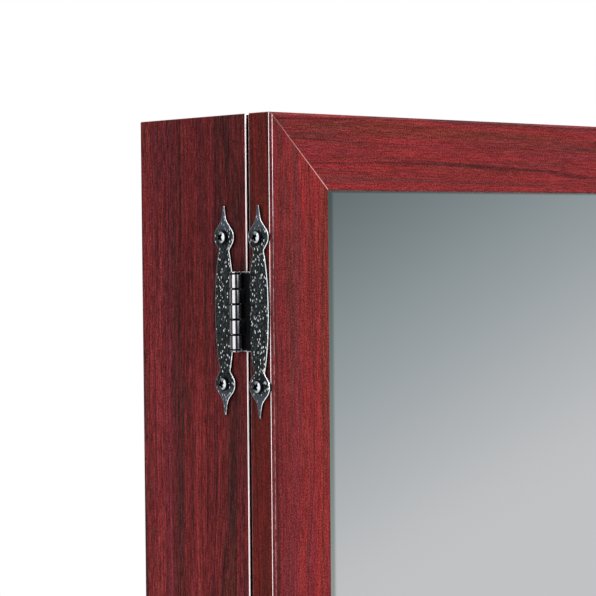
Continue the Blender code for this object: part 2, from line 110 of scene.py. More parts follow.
class Finish:
    """A surface finish: a material whose Principled shader is fed from nodes."""

    def __init__(self, name, tree=None):
        if tree is None:
            self.material = bpy.data.materials.new(name)
            self.material.use_nodes = True
            tree = self.material.node_tree
            self.shader = tree.nodes["Principled BSDF"]
        self.tree = tree

    def node(self, kind, settings=None, values=None, out=0):
        """Adds a node, with its settings first and then its sockets' values or wires."""
        made = self.tree.nodes.new(kind)
        for key, value in (settings or {}).items():
            if key == "stops":
                self.fill_ramp(made.color_ramp, value)
            else:
                setattr(made, key, value)
        for key, value in (values or {}).items():
            self.feed(made.inputs[key], value)
        return Wire(self, made.outputs[out])

    def fill_ramp(self, ramp, stops):
        while len(ramp.elements) < len(stops):
            ramp.elements.new(1.0)
        for element, (position, colour) in zip(ramp.elements, stops):
            element.position = position
            element.color = (*colour, 1.0)

    def feed(self, socket, value):
        if isinstance(value, Wire):
            self.tree.links.new(value.socket, socket)
        else:
            socket.default_value = value

    def maths(self, operation, first, second=0.0, clamp=False):
        settings = {"operation": operation, "use_clamp": clamp}
        return self.node("ShaderNodeMath", settings, {0: first, 1: second})

    def step(self, value, low, high):
        """0 below low, 1 above high and smooth between them."""
        settings = {"interpolation_type": "SMOOTHSTEP"}
        return self.node("ShaderNodeMapRange", settings, {0: value, 1: low, 2: high})

    def blend(self, amount, first, second, mode="MIX"):
        """One colour over another, by amount."""
        colours = [colour if isinstance(colour, Wire) else (*colour, 1.0) for colour in (first, second)]
        settings = {"data_type": "RGBA", "blend_type": mode}
        return self.node("ShaderNodeMix", settings, {0: amount, 6: colours[0], 7: colours[1]}, out=2)

    def place(self, stretch=(1, 1, 1), shift=(0, 0, 0), turn=(0, 0, 0)):
        """The point on the object, stretched, for a pattern."""
        point = self.node("ShaderNodeTexCoord", out="Object")
        values = {"Vector": point, "Scale": stretch, "Location": shift, "Rotation": turn}
        return self.node("ShaderNodeMapping", values=values)

    def axes(self, point=None):
        """The x, y and z of a point, or of the point on the object."""
        apart = self.node("ShaderNodeSeparateXYZ", values={0: point or self.place()})
        return [Wire(self, socket) for socket in apart.socket.node.outputs]

    def mark(self, name):
        """How much of a mark each face carries."""
        return self.node("ShaderNodeAttribute", {"attribute_name": name}, out="Fac")

    def mottled(self, amount, colour, darkest, lightest):
        """A colour that strays between a darker and a lighter tone of itself."""
        low, high = [tuple(tone * channel for channel in colour) for tone in (darkest, lightest)]
        return self.blend(amount, low, high)

    def noise(self, vector, scale, detail=2.0, roughness=0.5, distortion=0.0):
        values = {"Vector": vector, "Scale": scale, "Detail": detail, "Roughness": roughness}
        values["Distortion"] = distortion
        return self.node("ShaderNodeTexNoise", values=values, out="Fac")

    def bump(self, height, distance, strength=1.0):
        values = {"Height": height, "Distance": distance, "Strength": strength}
        return self.node("ShaderNodeBump", values=values)

    def set(self, **sockets):
        """Feeds the shader's sockets by name, with _ for a space."""
        for name, value in sockets.items():
            socket = self.shader.inputs[name.replace("_", " ").title().replace("Ior", "IOR")]
            if isinstance(value, tuple) and len(value) == 3 and socket.type == "RGBA":
                value = (*value, 1.0)
            self.feed(socket, value)
        return self.material


def pulled(along, share):
    """A stretch that keeps a share of one axis, so that a pattern runs long down it."""
    return [share if axis == along else 1.0 for axis in range(3)]


def cherry_foil(name, along, seed=0.0, figure=300.0, reach=0.022, strength=1.0, painted_light_amount=0.0):
    """Printed wood grain along an axis: broad bands, wandering streaks, short pores, folds that wear
    pale and also carry a painted highlight, and painted shade and light where asked.
    """
    foil = Finish(name)
    point = foil.place(pulled(along, reach), (seed, 0.7 * seed, 1.3 * seed))
    # Each streak wanders a little to the side along its length
    bend = foil.place(pulled(along, 0.10), (seed, seed, seed))
    values = {"Vector": bend, "Scale": 38.0, "Detail": 1.5}
    drift = foil.node("ShaderNodeTexNoise", values=values, out="Color")
    values = {0: drift, 1: (0.020, 0.020, 0.020), 2: point}
    grain = foil.node("ShaderNodeVectorMath", {"operation": "MULTIPLY_ADD"}, values)
    bands = foil.noise(grain, 62.0, 3.0, 0.5)
    streaks = foil.noise(grain, figure, 4.0, 0.62, 0.2)
    threads = foil.noise(grain, figure * 3.3, 2.0, 0.6)
    tone = (bands * 0.36 + streaks * 0.34 + threads * 0.30 - 0.5) * strength * 1.10 + 0.5
    stops = [
        (0.385, (0.034, 0.0100, 0.0120)),
        (0.450, (0.064, 0.0140, 0.0122)),
        (0.500, (0.105, 0.0120, 0.0128)),
        (0.560, (0.146, 0.0130, 0.0145)),
        (0.650, (0.205, 0.0250, 0.0260)),
    ]
    colour = foil.node("ShaderNodeValToRGB", {"stops": stops}, {0: tone})
    # Here the print runs to olive brown, and there to plum
    tint = foil.noise(grain, 130.0, 2.0, 0.5)
    colour = foil.blend(foil.step(tint, 0.54, 0.64) * 0.45, colour, (0.062, 0.0170, 0.0095))
    colour = foil.blend(foil.step(tint, 0.46, 0.36) * 0.40, colour, (0.085, 0.0130, 0.0230))
    # Long growth lines wander down the board, thin and dark
    rings = foil.noise(grain, 26.0, 1.0, 0.4)
    line = foil.maths("ABSOLUTE", foil.maths("FRACT", rings * 9.0) - 0.5)
    colour = foil.blend((1.0 - foil.step(line, 0.0, 0.065)) * 0.70, colour, (0.025, 0.0070, 0.0075))
    # Fine hairs and grit, then pores and pale flecks as short dashes
    hairs = foil.noise(grain, 1400.0, 3.0, 0.75)
    shading = (foil.step(hairs, 0.22, 0.78) - 0.5) * (1.5 * strength) + 1.0
    colour = foil.blend(1.0, colour, shading, "MULTIPLY")
    grit = foil.step(foil.noise(foil.place(), 1300.0, 1.0, 0.5), 0.34, 0.66)
    grit = foil.blend(grit, (0.76, 0.36, 0.36), (1.24, 1.68, 1.68))
    colour = foil.blend(1.0, colour, grit, "MULTIPLY")
    specks = foil.noise(bend, 1700.0, 1.0, 0.4)
    pores = foil.step(specks, 0.54, 0.62)
    colour = foil.blend(pores * (0.50 * strength), colour, (0.020, 0.0035, 0.0040))
    flecks = foil.step(specks, 0.44, 0.36)
    colour = foil.blend(flecks * (0.22 * strength), colour, (0.230, 0.0600, 0.0600))
    # Painted shade and light: where asked, the board is painted darker towards the top and lighter
    # towards the wall
    worn = foil.mark("worn")
    _, y, z = foil.axes()
    painted_shading = 1.0 - foil.step(z, 0.42, 0.60) * painted_light_amount + foil.step(y, -0.034, -0.004) * painted_light_amount
    colour = foil.blend(1.0, colour, painted_shading, "MULTIPLY")
    # The folds wear through unevenly to the pale core. That pale colour is also a painted highlight
    # along the edges, painted strongest near the top, where the folds meet at a corner
    corner = foil.step(z, 0.525, 0.600)
    rub = foil.noise(foil.place(), 420.0, 3.0)
    fold = foil.step(worn + corner * 0.32 + (rub - 0.5) * 0.55, 0.50, 1.12)
    colour = foil.blend(fold, colour, (0.95, 0.83, 0.83))
    relief = hairs * 0.5 + streaks * 0.5 - pores * 0.8
    # Painted shade: the flat front edge, in the gap under the door, is darkened nearly to black
    painted_gap_shade = foil.maths("MULTIPLY", worn, -0.85, clamp=True)
    foil.set(
        base_color=foil.blend(painted_gap_shade, colour, (0.004, 0.002, 0.002)),
        roughness=0.26 + hairs * 0.08 + pores * 0.2,
        normal=foil.bump(relief, 0.00003),
        specular_ior_level=0.11,
    )
    return foil


def object_of(name, shape, finish, smooth=False):
    """Turns a shape under construction into a finished object at the origin."""
    for face in shape.faces:
        face.smooth = face.smooth or smooth
    mesh = bpy.data.meshes.new(name)
    shape.to_mesh(mesh)
    shape.free()
    mesh.materials.append(finish)
    made = bpy.data.objects.new(name, mesh)
    bpy.context.scene.collection.objects.link(made)
    return made


def shade(shape, curved_faces):
    """Curved faces shade smoothly among themselves, and flat faces stay flat."""
    curved = set(curved_faces)
    for face in shape.faces:
        face.smooth = face in curved
    for edge in shape.edges:
        edge.smooth = all(face in curved for face in edge.link_faces)


def board(name, low, high, ease, finish, wear=lambda middle, fold: 0.0):
    """A board with rounded edges. wear gives each face, by its middle, its pale wear and painted
    highlight, or painted shade where it is negative.
    """
    shape = bmesh.new()
    bmesh.ops.create_cube(shape, size=1.0)
    bmesh.ops.scale(shape, vec=high - low, verts=shape.verts)
    bmesh.ops.translate(shape, vec=(high + low) / 2, verts=shape.verts)
    worn = shape.faces.layers.float.new("worn")
    rounded = bmesh.ops.bevel(
        shape, geom=shape.edges[:], offset=ease, segments=4, profile=0.5, affect="EDGES"
    )["faces"]
    folds = set(rounded)
    for face in shape.faces:
        face[worn] = wear(face.calc_center_median(), face in folds)
    shade(shape, rounded)
    return object_of(name, shape, finish)


def quarter_turn(steps):
    """Angles in even steps from nothing to a right angle."""
    return [math.pi / 2 * step / steps for step in range(steps + 1)]


def install(piece, body, slot, *nodes):
    """Fixes a finished piece to its body, in place of the frame's plain ones."""
    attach(piece, body)
    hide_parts(*nodes)
    return piece


def fit_board(node, name, ease, finish, body, slot, wear=lambda middle, fold: 0.0):
    """A board of the size of a piece of the frame, fixed in its place."""
    low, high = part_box(node)
    return install(board(name, low, high, ease, finish, wear), body, slot, node)


side_foil = cherry_foil("cherry_foil_sides", 2, seed=3.1, painted_light_amount=0.26).material
cross_foil = cherry_foil("cherry_foil_ends", 0, seed=5.7).material
case_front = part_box("left_side_panel")[0].y


def front_wear_highlight_shade(middle, fold):
    """The fold at the case's front edges wears pale and carries the painted highlight along it, and the
    others hardly. The flat front edge gets painted shade.
    """
    if middle.y < case_front + 0.001:
        return 1.15 if fold else -1.0
    return 0.12 if fold else 0.0


for node, foil in (
    ("left_side_panel", side_foil),
    ("right_side_panel", side_foil),
    ("top_panel", cross_foil),
    ("bottom_panel", cross_foil),
):
    fit_board(node, node + "_foiled", 0.0005, foil, "case", "cherry_case", front_wear_highlight_shade)


# ---- Back, wall rails and keyhole plates ----
# The back is a sheet of brown hardboard. Two rails behind the lining stiffen it, and the upper one
# carries zinc-plated keyhole plates let in flush, which hook over the heads of two wall screws.


def hardboard():
    """Pressed brown fibres, mottled and matte."""
    fibre = Finish("hardboard")
    coarse = fibre.noise(fibre.place(), 260.0, 4.0, 0.7)
    fine = fibre.noise(fibre.place((1, 1, 0.4)), 1800.0, 3.0, 0.7)
    stops = [(0.30, (0.080, 0.043, 0.024)), (0.55, (0.165, 0.094, 0.052)), (0.75, (0.240, 0.150, 0.088))]
    colour = fibre.node("ShaderNodeValToRGB", {"stops": stops}, {0: coarse * 0.5 + fine * 0.5})
    return fibre.set(base_color=colour, roughness=0.72 + fine * 0.2, normal=fibre.bump(fine, 0.00008))


def zinc(name, along=0):
    """Zinc-plated steel: fine rolling lines and a faint spangle."""
    plate = Finish(name)
    lines = plate.noise(plate.place(pulled(along, 0.04)), 2600.0, 3.0, 0.6)
    spangle = plate.noise(plate.place(), 420.0, 2.0)
    colour = plate.blend(spangle, (0.46, 0.47, 0.48), (0.62, 0.62, 0.61))
    return plate.set(
        base_color=colour,
        metallic=1.0,
        roughness=0.22 + lines * 0.18,
        normal=plate.bump(lines, 0.00001),
    )


def eased(node, name, width, finish, body, slot):
    """A piece of the frame with its sharp edges eased and its finish on, in that piece's place."""
    shape = bmesh.new()
    shape.from_mesh(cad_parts[node].data)
    bmesh.ops.remove_doubles(shape, verts=shape.verts, dist=1e-6)
    bmesh.ops.dissolve_limit(
        shape, angle_limit=math.radians(1), verts=shape.verts, edges=shape.edges
    )

    def turns(edge):
        return edge.is_manifold and edge.calc_face_angle(0.0) > math.radians(35)

    corners = [edge for edge in shape.edges if turns(edge)]
    rounded = bmesh.ops.bevel(
        shape, geom=corners, offset=width, segments=2, profile=0.5, affect="EDGES", clamp_overlap=True
    )["faces"]
    rounded = set(rounded)
    for edge in shape.edges:
        rim = len(rounded.intersection(edge.link_faces)) == 1
        edge.smooth = not (turns(edge) or rim)
    return install(object_of(name, shape, finish, smooth=True), body, slot, node)


board_finish = hardboard()
zinc_finish = zinc("zinc_plate")
for node in ("back_panel", "hanging_rail", "lower_rail"):
    eased(node, node + "_board", 0.0004, board_finish, "case", "back_board")
for node in ("keyhole_plate_left", "keyhole_plate_right"):
    eased(node, node + "_zinc", 0.00025, zinc_finish, "case", "bright_steel")


# ---- Lining ----
# A thin board glued over with black felt fills the back of the case, so that jewelry hangs against
# a soft, matte ground.


def felt(name, colour):
    """Matted fibres that catch a little light at the surface."""
    cloth = Finish(name)
    mat = cloth.noise(cloth.place(), 900.0, 4.0, 0.75)
    nap = cloth.noise(cloth.place((1, 1, 0.6)), 3800.0, 2.0, 0.6)
    lint = cloth.step(cloth.noise(cloth.place(), 2400.0, 1.0), 0.70, 0.80)
    low = tuple(0.6 * channel for channel in colour)
    high = tuple(1.7 * channel + 0.004 for channel in colour)
    shown = cloth.blend(mat * 0.6 + nap * 0.4, low, high)
    shown = cloth.blend(lint * 0.25, shown, (0.09, 0.085, 0.085))
    return cloth.set(
        base_color=shown,
        roughness=0.96,
        sheen_weight=0.35,
        sheen_roughness=0.45,
        specular_ior_level=0.2,
        normal=cloth.bump(mat * 0.6 + nap * 0.4, 0.0004),
    )


lining_felt = felt("black_felt", (0.014, 0.013, 0.014))
fit_board("back_lining", "back_lining_felt", 0.0008, lining_felt, "case", "lining_felt")


# ---- Necklace hooks ----
# A zinc-plated strip runs across the top of the lining, with twelve small wire hooks riveted
# through it. Each hook is one length of round wire bent to a J, with a ball end.


def bridge(shape, rings):
    """Faces from each ring of points to the next, and over both ends. Gives the walls by level."""
    walls = []
    for first, second in zip(rings, rings[1:]):
        quads = zip(first, first[1:] + first[:1], second[1:] + second[:1], second)
        walls.append([shape.faces.new(quad) for quad in quads])
    shape.faces.new(list(reversed(rings[0])))
    shape.faces.new(rings[-1])
    return walls


def ring_path(points, radius, sides, shape):
    """A round wire along a list of points in the plane x = 0, closed at both ends."""
    rings = []
    for index, point in enumerate(points):
        ahead = points[min(index + 1, len(points) - 1)] - points[max(index - 1, 0)]
        normal = Vector((1, 0, 0))
        side = ahead.cross(normal).normalized()
        ring = []
        for step in range(sides):
            angle = math.tau * step / sides
            offset = normal * math.cos(angle) + side * math.sin(angle)
            ring.append(shape.verts.new(point + offset * radius))
        rings.append(ring)
    bridge(shape, rings)


def repeat_tree():
    """Geometry nodes that set a piece at each point of a guide, each turned about X by chance."""
    tree = bpy.data.node_groups.new("set_on_points", "GeometryNodeTree")
    for name, kind in (
        ("Guide", "NodeSocketGeometry"),
        ("Piece", "NodeSocketObject"),
        ("Finish", "NodeSocketMaterial"),
        ("Least turn", "NodeSocketFloat"),
        ("Most turn", "NodeSocketFloat"),
        ("Seed", "NodeSocketInt"),
    ):
        tree.interface.new_socket(name, in_out="INPUT", socket_type=kind)
    tree.interface.new_socket("Pieces", in_out="OUTPUT", socket_type="NodeSocketGeometry")
    graph = Finish("", tree)
    given = tree.nodes.new("NodeGroupInput").outputs
    wires = {socket.name: Wire(graph, socket) for socket in given if socket.name}
    points = graph.node("GeometryNodeMeshToPoints", values={"Mesh": wires["Guide"]})
    whole = {"Object": wires["Piece"], "As Instance": True}
    piece = graph.node("GeometryNodeObjectInfo", values=whole, out="Geometry")
    chance = tree.nodes.new("FunctionNodeRandomValue")
    chance.data_type = "FLOAT"
    floats = [socket for socket in chance.inputs if socket.enabled]
    for socket, name in zip(floats[:2], ("Least turn", "Most turn")):
        graph.feed(socket, wires[name])
    graph.feed(chance.inputs["Seed"], wires["Seed"])
    turn = next(socket for socket in chance.outputs if socket.enabled)
    turned = graph.node("ShaderNodeCombineXYZ", values={"X": Wire(graph, turn)})
    values = {"Points": points, "Instance": piece, "Rotation": turned}
    placed = graph.node("GeometryNodeInstanceOnPoints", values=values)
    real = graph.node("GeometryNodeRealizeInstances", values={"Geometry": placed})
    values = {"Geometry": real, "Material": wires["Finish"]}
    coated = graph.node("GeometryNodeSetMaterial", values=values)
    tree.links.new(coated.socket, tree.nodes.new("NodeGroupOutput").inputs[0])
    return tree


set_on_points = repeat_tree()


def repeated(name, pattern, places, finish, body, slot, nodes, turns=(0.0, 0.0), seed=1):
    """Fixes copies of a pattern at a list of places, as one plain mesh. The pattern is used up."""
    guide = bpy.data.objects.new(name + "_guide", bpy.data.meshes.new(name + "_guide"))
    guide.data.from_pydata([tuple(place) for place in places], [], [])
    bpy.context.scene.collection.objects.link(guide)
    modifier = guide.modifiers.new("copies", "NODES")
    modifier.node_group = set_on_points
    given = {"Piece": pattern, "Finish": finish, "Seed": seed}
    given.update(zip(("Least turn", "Most turn"), turns))
    for item in set_on_points.interface.items_tree:
        if item.name in given:
            modifier[item.identifier] = given[item.name]
    evaluated = guide.evaluated_get(bpy.context.evaluated_depsgraph_get())
    mesh = bpy.data.meshes.new_from_object(evaluated)
    made = bpy.data.objects.new(name, mesh)
    bpy.context.scene.collection.objects.link(made)
    bpy.data.objects.remove(guide)
    bpy.data.objects.remove(pattern)
    return install(made, body, slot, *nodes)


def hook_pattern():
    """One wire hook, with its root at the origin: out from the strip, down, round and up."""
    bend, reach = 0.0068, 0.0068
    wire, ball_radius, rivet_radius = 0.0009, 0.0014, 0.0024
    path = [Vector((0, 0, -bend)), Vector((0, -reach / 2, -bend))]
    for angle in quarter_turn(8):
        path.append(Vector((0, -reach - bend * math.sin(angle), -bend * math.cos(angle))))
    path += [Vector((0, -reach - bend, 0.0025)), Vector((0, -reach - bend, 0.0045))]
    shape = bmesh.new()
    ring_path(path, wire, 12, shape)
    ball = bmesh.ops.create_uvsphere(shape, u_segments=14, v_segments=8, radius=ball_radius)["verts"]
    bmesh.ops.translate(shape, vec=path[-1], verts=ball)
    # The rivet's flattened head on the front of the strip
    rivet = bmesh.ops.create_uvsphere(shape, u_segments=16, v_segments=8, radius=rivet_radius)["verts"]
    bmesh.ops.scale(shape, vec=(1, 0.35, 1), verts=rivet)
    bmesh.ops.translate(shape, vec=(0, -0.0002, -bend), verts=rivet)
    bmesh.ops.recalc_face_normals(shape, faces=shape.faces)
    return object_of("hook_pattern", shape, zinc_finish, smooth=True)


hook_count = 12
strip_thick, end_margin = 0.002, 0.012
low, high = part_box("necklace_hook_strip")
strip_front = high.y - strip_thick
strip_middle = (low.z + high.z) / 2
low.y = strip_front
strip = board("necklace_strip", low, high, 0.0005, zinc("zinc_strip"))
install(strip, "case", "bright_steel", "necklace_hook_strip")
first_hook = low.x + end_margin
pitch = -2 * first_hook / (hook_count - 1)
hook_places = [(first_hook + index * pitch, strip_front, strip_middle) for index in range(hook_count)]
strip_nodes = ["necklace_hook_strip"]
repeated("necklace_hooks", hook_pattern(), hook_places, zinc_finish, "case", "bright_steel", strip_nodes)


# ---- Ring tray and rolls ----
# A shallow tray of stained wood spans the case. Four rolls of foam in black velvet fill it, and
# rings are pushed down between them.


inner_foil = cherry_foil("cherry_inside", 0, seed=9.2).material
eased("ring_tray", "ring_tray_wood", 0.0006, inner_foil, "case", "inner_wood")


def velvet():
    """Short dense pile, its tone straying at random, and painted lighter where it leans away from the
    eye: a painted sheen.
    """
    pile = Finish("black_velvet")
    lean = pile.noise(pile.place(), 70.0, 3.0, 0.6)
    tufts = pile.noise(pile.place(), 3200.0, 3.0, 0.7)
    # Painted sheen: the colour is lightened towards the rim, where the surface turns from the eye
    rim = pile.node("ShaderNodeLayerWeight", values={"Blend": 0.35}, out="Facing")
    colour = pile.blend(lean * 0.6 + tufts * 0.3, (0.006, 0.005, 0.006), (0.030, 0.026, 0.029))
    colour = pile.blend(rim * 0.35, colour, (0.075, 0.068, 0.072))
    return pile.set(
        base_color=colour,
        roughness=0.92,
        sheen_weight=0.6,
        sheen_roughness=0.35,
        specular_ior_level=0.15,
        normal=pile.bump(tufts, 0.0003),
    )


def stuffed_roll(name, low, high, finish, seed):
    """A long roll with a flat base and a full round top, puckered a little where it is sewn."""
    shape = bmesh.new()
    chance = random.Random(seed)
    spans = ((30, 90), (0, math.tau), (0.2, 1))
    waves = [[chance.uniform(*span) for span in spans] for _ in range(5)]
    half = (high.y - low.y) / 2
    middle = (high.y + low.y) / 2
    height = high.z - low.z
    stations, around = 150, 28
    rings = []
    for station in range(stations + 1):
        along = station / stations
        x = low.x + (high.x - low.x) * along
        # The ends close over a short rounded length
        from_end = min(along, 1 - along) * (high.x - low.x) / (half * 0.9)
        swell = math.sqrt(max(0.0, 1 - (1 - min(from_end, 1.0)) ** 2))
        ripple = sum(size * math.sin(rate * x * 10 + phase) for rate, phase, size in waves)
        size = max(swell, 0.05) * (0.985 - 0.012 * abs(math.sin(ripple)))
        ring = []
        for step in range(around):
            angle = math.tau * step / around
            across = math.copysign(abs(math.cos(angle)) ** 0.75, math.cos(angle))
            up = math.copysign(abs(math.sin(angle)) ** 0.8, math.sin(angle))
            y = middle + half * size * across
            z = low.z + height / 2 + height / 2 * size * up
            ring.append(shape.verts.new((x, y, z)))
        rings.append(ring)
    bridge(shape, rings)
    bmesh.ops.recalc_face_normals(shape, faces=shape.faces)
    return object_of(name, shape, finish, smooth=True)


ring_velvet = velvet()
for number in range(1, 5):
    node = f"ring_roll_{number}"
    low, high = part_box(node)
    roll = stuffed_roll(node + "_velvet", low, high, ring_velvet, number)
    install(roll, "case", "ring_velvet", node)


# ---- Shelves and bracelet rod ----
# Three narrow shelves of the same stained wood, each with a lip glued along its front so that
# nothing slides out. A turned rod between the sides takes bracelets and watches.

for number in range(1, 4):
    for part, ease in (("shelf", 0.0005), ("shelf_lip", 0.0012)):
        node = f"{part}_{number}"
        fit_board(node, node + "_wood", ease, inner_foil, "case", "inner_wood")


def back_middle(node):
    """The middle of the back face of a piece of the frame."""
    low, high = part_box(node)
    return Vector(((low.x + high.x) / 2, high.y, (low.z + high.z) / 2))


def turned(name, profile, centre, axis, finish, sides=48, ring_angle=30):
    """A piece turned on a lathe. The profile is (radius, distance along the axis) from end to end."""
    shape = bmesh.new()
    points = [shape.verts.new((radius, 0, height)) for radius, height in profile]
    edges = [shape.edges.new(pair) for pair in zip(points, points[1:])]
    bmesh.ops.spin(
        shape, geom=points + edges, axis=(0, 0, 1), angle=math.tau, steps=sides, use_merge=True
    )
    bmesh.ops.remove_doubles(shape, verts=shape.verts, dist=1e-7)
    bmesh.ops.recalc_face_normals(shape, faces=shape.faces)
    facing = Vector((0, 0, 1)).rotation_difference(Vector(axis)).to_matrix().to_4x4()
    shape.transform(Matrix.Translation(centre) @ facing)
    for edge in shape.edges:
        edge.smooth = edge.calc_face_angle(0.0) < math.radians(ring_angle)
    return object_of(name, shape, finish, smooth=True)


low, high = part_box("bracelet_rod")
rod_radius = (high.z - low.z) / 2
rod_length = high.x - low.x
rod_profile = [(rod_radius, rod_length * share) for share in (0.0, 0.25, 0.5, 0.75, 1.0)]
rod_profile = [(0, 0)] + rod_profile + [(0, rod_length)]
rod_start = Vector((low.x, (low.y + high.y) / 2, (low.z + high.z) / 2))
rod = turned("bracelet_rod_wood", rod_profile, rod_start, (1, 0, 0), inner_foil)
install(rod, "case", "inner_wood", "bracelet_rod")


# ---- Catch, strike plate and bumpers ----
# A moulded magnetic catch is screwed inside the right-hand side, and meets a small steel plate on
# the door. Two soft clear discs on the case's front edge quieten the door as it closes.


def moulded(name, colour, grit=900.0, roughness=0.45):
    """A moulded plastic or rubber skin with a fine spark texture."""
    skin = Finish(name)
    grain = skin.noise(skin.place(), grit, 3.0, 0.65)
    return skin.set(
        base_color=skin.mottled(grain, colour, 0.8, 1.2),
        roughness=roughness + grain * 0.12,
        normal=skin.bump(grain, 0.00005),
    )


catch_skin = moulded("catch_plastic", (0.030, 0.026, 0.024))
bumper_skin = moulded("bumper_rubber", (0.40, 0.38, 0.35), 600.0, 0.55)
eased("magnetic_catch", "magnetic_catch_body", 0.0006, catch_skin, "case", "catch_plastic")
eased("strike_plate", "strike_plate_zinc", 0.0002, zinc_finish, "door", "bright_steel")
for node in ("door_bumper_top", "door_bumper_bottom"):
    low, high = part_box(node)
    radius = (high.x - low.x) / 2
    thick = high.y - low.y
    profile = [(0, 0), (radius, 0), (radius, thick * 0.35)]
    for angle in quarter_turn(4)[1:]:
        out, up = 0.72 + 0.28 * math.cos(angle), 0.35 + 0.65 * math.sin(angle)
        profile.append((radius * out, thick * up))
    profile.append((0, thick))
    bumper = turned(node + "_disc", profile, back_middle(node), (0, -1, 0), bumper_skin)
    install(bumper, "case", "bumper_rubber", node)


# ---- Door frame ----
# Two stiles and two rails of moulded fibreboard in the same foil, mitred at the corners. The
# moulding has a small chamfer at its outer front edge and a thin lip that holds the glass.


def filleted(corners, steps=4):
    """Rounds each (point, radius, wear) corner of a closed outline. Gives (point, wear) pairs."""
    outline = []
    count = len(corners)
    for index, (corner, radius, wear) in enumerate(corners):
        here = Vector(corner)
        back = (Vector(corners[index - 1][0]) - here).normalized()
        on = (Vector(corners[(index + 1) % count][0]) - here).normalized()
        if not radius:
            outline.append((here, 0.0))
            continue
        half = back.angle(on) / 2
        run = radius / math.tan(half)
        centre = here + (back + on).normalized() * (radius / math.sin(half))
        start = (here + back * run - centre).normalized()
        end = (here + on * run - centre).normalized()
        for step in range(steps + 1):
            arm = start.slerp(end, step / steps) * radius
            outline.append((centre + arm, wear if step < steps else 0.0))
    return outline


def frame_moulding(name, node, upright, side, finish):
    """A stile or rail: the moulding's section run from mitre to mitre."""
    low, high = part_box(node)
    width = min(high.x - low.x, high.z - low.z)
    front, back = low.y, high.y
    chamfer, sight, lip, rabbet = 0.0012, 0.0008, 0.0024, 0.008
    across = max(abs(low.x), abs(high.x)) if upright else max(abs(low.z), abs(high.z))
    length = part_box("door_rail_top")[1].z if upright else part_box("door_stile_latch")[1].x
    outer_wear_and_highlight = 1.0 if upright else 0.2
    # Each corner's third number is its wear, and it also paints the pale highlight lines along the
    # chamfer's edges, the back edge and the sight edge
    corners = [
        ((0, back), 0.0003, 0.74 * outer_wear_and_highlight),
        ((0, front + chamfer), 0.0004, 1.15 * outer_wear_and_highlight),
        ((chamfer, front), 0.0003, 0.62 * outer_wear_and_highlight),
        ((width - sight, front), 0.0005, 0.25),
        ((width, front + sight), 0.0004, 0.30),
        ((width, front + lip), 0.0001, 0.0),
        ((width - rabbet, front + lip), 0.0, 0.0),
        ((width - rabbet, back), 0.0004, 0.1),
    ]
    section = filleted(corners)
    shape = bmesh.new()
    worn = shape.faces.layers.float.new("worn")
    shaded = shape.faces.layers.float.new("edge_strip")
    mitre = 0.00004
    ends = []
    for end in (-1, 1):
        ring = []
        for (inset, y), _ in section:
            u = side * (across - inset)
            v = end * (length - inset - mitre)
            ring.append(shape.verts.new((u, y, v) if upright else (v, y, u)))
        ends.append(ring)
    curved = []
    run = bridge(shape, ends)[0]
    for face, (here, wear), (after, _) in zip(run, section, section[1:] + section[:1]):
        face[worn] = wear
        face[shaded] = float(max(here.x, after.x) < chamfer - 0.0001)
        if (here - after).length < 0.0006:
            curved.append(face)
    bmesh.ops.recalc_face_normals(shape, faces=shape.faces)
    shade(shape, curved)
    return object_of(name, shape, finish)


def mitred_foil(name, along, seed, line, figure, reach, batch):
    """The door's foil, of its own batch, with the board's pale core in a hairline at each mitre."""
    foil = cherry_foil(name, along, seed, figure, reach, 0.52)
    under = Wire(foil, foil.shader.inputs["Base Color"].links[0].from_socket)
    # The strip on the door's outer edge is a browner batch
    strip = foil.mark("edge_strip") * (1.0 - foil.step(foil.mark("worn"), 0.05, 0.3))
    under = foil.blend(strip * 0.9, under, (1.02, 0.82, 0.62), "MULTIPLY")
    x, _, z = foil.axes()
    from_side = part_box("door_stile_latch")[1].x - foil.maths("ABSOLUTE", x)
    from_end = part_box("door_rail_top")[1].z - foil.maths("ABSOLUTE", z)
    gap = foil.maths("ABSOLUTE", from_side - from_end)
    rosy = foil.blend(foil.step(from_side, 0.005, 0.018), (0.98, 0.94, 0.97), batch)
    under = foil.blend(1.0 - strip, under, rosy, "MULTIPLY")
    near = 1.0 - foil.step(gap, 0.00012, 0.00042)
    inward = 0.25 + foil.step(from_side, 0.0, 0.040) * 0.75
    return foil.set(base_color=foil.blend(near * inward * line, under, (0.80, 0.50, 0.46)))


stile_foil = mitred_foil("cherry_foil_stiles", 2, 12.4, 0.9, 230.0, 0.013, (1.30, 1.08, 1.06))
rail_foil = mitred_foil("cherry_foil_rails", 0, 21.7, 0.35, 110.0, 0.008, (1.13, 1.09, 1.08))
for node, upright, side in (
    ("door_stile_hinge", True, -1),
    ("door_stile_latch", True, 1),
    ("door_rail_top", False, 1),
    ("door_rail_bottom", False, -1),
):
    finish = stile_foil if upright else rail_foil
    member = frame_moulding(node + "_moulding", node, upright, side, finish)
    install(member, "door", "cherry_frame", node)


# ---- Mirror and its backing ----
# A plate of silvered glass lies in the frame's rabbet, under the lip. A board behind it holds it
# in, and carries the same black felt on the inside of the door.


def silvered():
    """Silvered glass, a shade greener and dimmer beside the lip, where the frame shades it."""
    glass = Finish("silvered_glass")
    x, _, z = glass.axes()
    from_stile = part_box("door_stile_latch")[0].x - glass.maths("ABSOLUTE", x)
    from_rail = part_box("door_rail_top")[0].z - glass.maths("ABSOLUTE", z)
    beside = glass.step(from_stile, 0.0034, 0.0058)
    clear = glass.maths("MINIMUM", beside, glass.step(from_rail, 0.0003, 0.0012))
    haze = glass.noise(glass.place(), 6.0, 3.0, 0.6)
    colour = glass.blend(clear, (0.48, 0.55, 0.50), (0.95, 0.95, 0.95))
    return glass.set(base_color=colour, metallic=1.0, roughness=0.012 + haze * 0.012)


